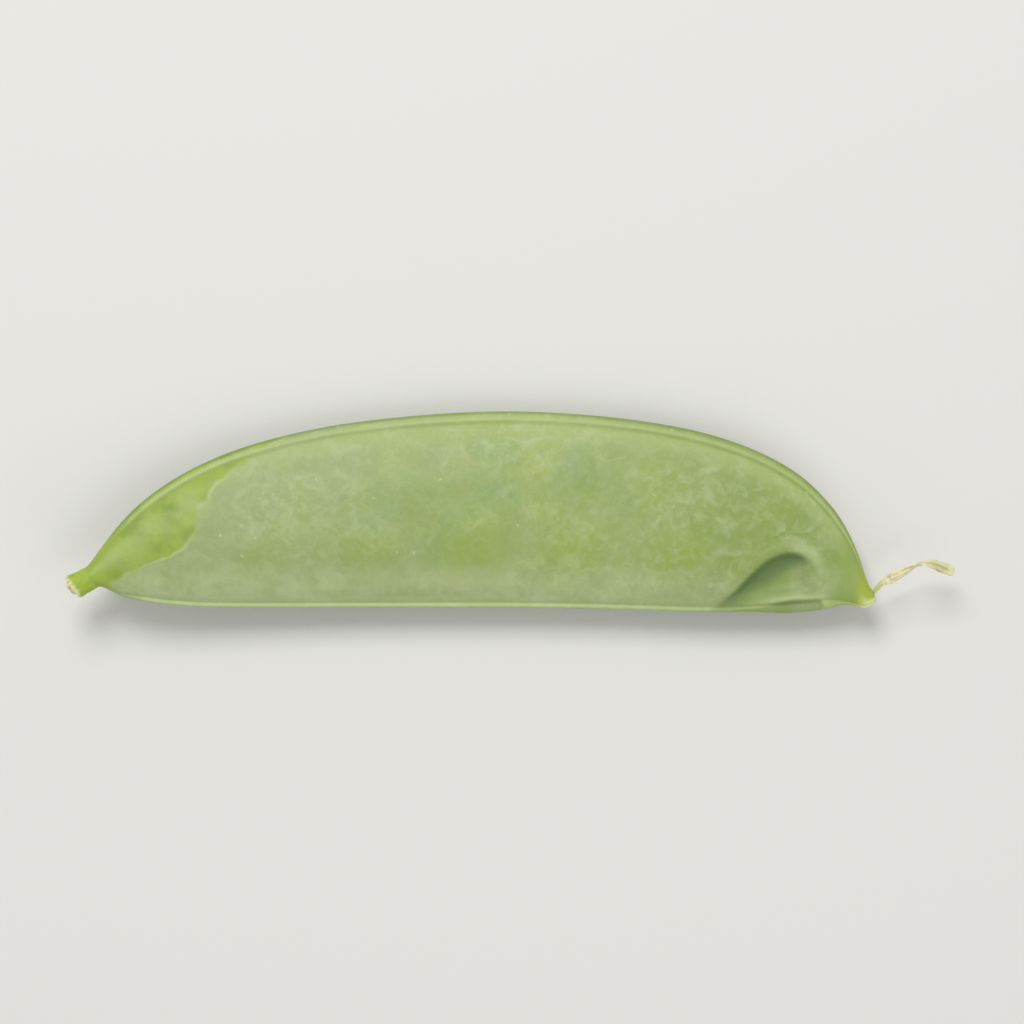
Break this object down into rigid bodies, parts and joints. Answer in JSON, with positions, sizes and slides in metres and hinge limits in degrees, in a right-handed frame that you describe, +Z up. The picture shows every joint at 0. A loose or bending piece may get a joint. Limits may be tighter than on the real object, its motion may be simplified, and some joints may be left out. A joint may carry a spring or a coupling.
{
  "type": "snow pea pod",
  "caption": "Flat, crescent-shaped snow pea pod lying on its side, with seamed edges, faint pea swellings, a stem stub and a withered style at its beak.",
  "frame": {"origin": "on the resting surface, below the middle of the whole object", "axes": "+X along the pod from the stem end to the beak, +Y towards the arched back edge, +Z up, out of the upper wall"},
  "size_m": [0.0786, 0.018, 0.0057],
  "materials": {
    "pod_skin": "waxy, matte green pod skin with fine veins",
    "stem": "yellow-green stalk with a pale snapped end",
    "dry_style": "dry, cream, shrivelled"
  },
  "bodies": {
    "root": {"pod": "pod_skin", "stem_stub": "stem", "dried_style": "dry_style"}
  },
  "joints": []
}
